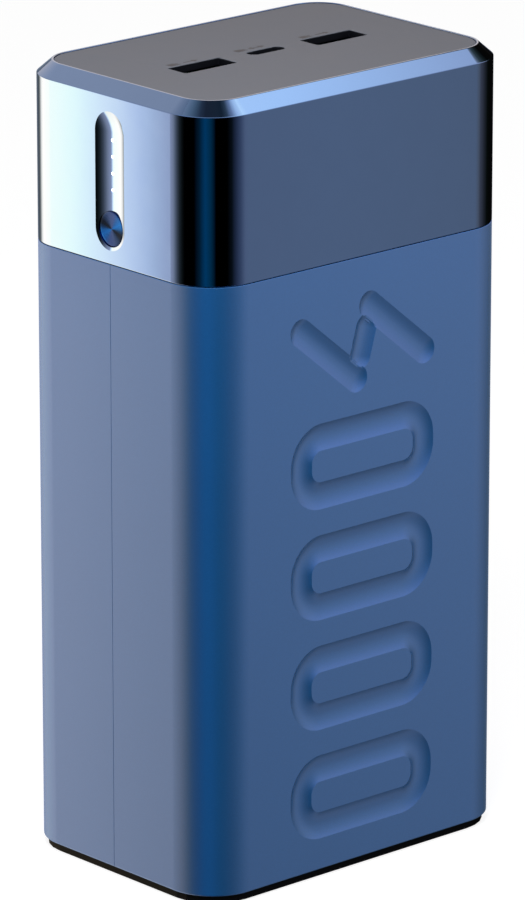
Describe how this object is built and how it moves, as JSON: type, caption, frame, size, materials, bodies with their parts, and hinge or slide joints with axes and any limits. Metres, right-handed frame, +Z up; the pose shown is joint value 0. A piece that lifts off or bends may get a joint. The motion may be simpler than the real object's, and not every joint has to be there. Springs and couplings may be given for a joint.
{
  "type": "power bank",
  "caption": "Upright power bank: a satin two-part case with moulded grooves under a polished chamfered cap with charging sockets, charge lights and a push button.",
  "frame": {"origin": "centre of the underside, on the surface the power bank stands on", "axes": "+Z up along the tall side; X along the wide face; Y along the narrow side. The wide face with the moulded grooves looks along -Y, and the narrow face with the button and the charge lights along -X"},
  "size_m": [0.0774, 0.054, 0.1548],
  "materials": {
    "satin_case": "satin metallic blue paint",
    "polished_cap": "mirror-like blue plating",
    "button_face": "circular-brushed blue plating",
    "panel_grey": "matt grey",
    "base_black": "matt black",
    "pad_rubber": "matt black rubber",
    "screw_steel": "zinc-plated",
    "socket_steel": "bright sheet steel",
    "tongue_plastic": "matt black moulding",
    "contact_gold": "gold-plated",
    "clear_guide": "milky clear",
    "led_white": "white package",
    "board_green": "green solder mask",
    "chip_black": "black package",
    "ferrite_grey": "moulded ferrite",
    "can_aluminium": "bright can",
    "cell_foil": "laminated pouch foil",
    "busbar_nickel": "nickel strip",
    "foam_grey": "closed-cell foam",
    "lead_red": "red silicone",
    "lead_black": "black silicone",
    "switch_steel": "pressed steel"
  },
  "bodies": {
    "case": {"base_pad": "pad_rubber", "base_plate": "base_black", "base_screw_1": "screw_steel", "base_screw_2": "screw_steel", "base_screw_3": "screw_steel", "base_screw_4": "screw_steel", "battery_lead_black": "lead_black", "battery_lead_red": "lead_red", "board_screw_1": "screw_steel", "board_screw_2": "screw_steel", "boost_inductor": "ferrite_grey", "buck_inductor": "ferrite_grey", "capacitor_1": "can_aluminium", "capacitor_2": "can_aluminium", "cell_1": "cell_foil", "cell_2": "cell_foil", "cell_3": "cell_foil", "cell_4": "cell_foil", "cell_spacer_1": "foam_grey", "cell_spacer_2": "foam_grey", "cell_spacer_3": "foam_grey", "controller_chip": "chip_black", "divider_tray": "base_black", "fast_charge_chip": "chip_black", "front_foam": "foam_grey", "front_shell": "satin_case", "insulator_sheet": "foam_grey", "led_1": "led_white", "led_2": "led_white", "led_3": "led_white", "led_4": "led_white", "led_board": "board_green", "light_guide": "clear_guide", "link_header": "tongue_plastic", "main_board": "board_green", "negative_busbar": "busbar_nickel", "port_panel": "panel_grey", "positive_busbar": "busbar_nickel", "protection_board": "board_green", "protection_chip": "chip_black", "rear_foam": "foam_grey", "rear_shell": "satin_case", "tact_switch": "switch_steel", "top_cap": "polished_cap", "usb_a_contact_left_1": "contact_gold", "usb_a_contact_left_2": "contact_gold", "usb_a_contact_left_3": "contact_gold", "usb_a_contact_left_4": "contact_gold", "usb_a_contact_right_1": "contact_gold", "usb_a_contact_right_2": "contact_gold", "usb_a_contact_right_3": "contact_gold", "usb_a_contact_right_4": "contact_gold", "usb_a_shell_left": "socket_steel", "usb_a_shell_right": "socket_steel", "usb_a_tongue_left": "tongue_plastic", "usb_a_tongue_right": "tongue_plastic", "usb_c_shell": "socket_steel", "usb_c_tongue": "tongue_plastic"},
    "button": {"power_button": "button_face", "switch_plunger": "tongue_plastic"}
  },
  "joints": [
    {"name": "button_press", "type": "slide", "parent": "case", "child": "button", "axis": [1, 0, 0], "range_m": [0, 0.0005], "stiffness_N_per_m": 1000}
  ]
}
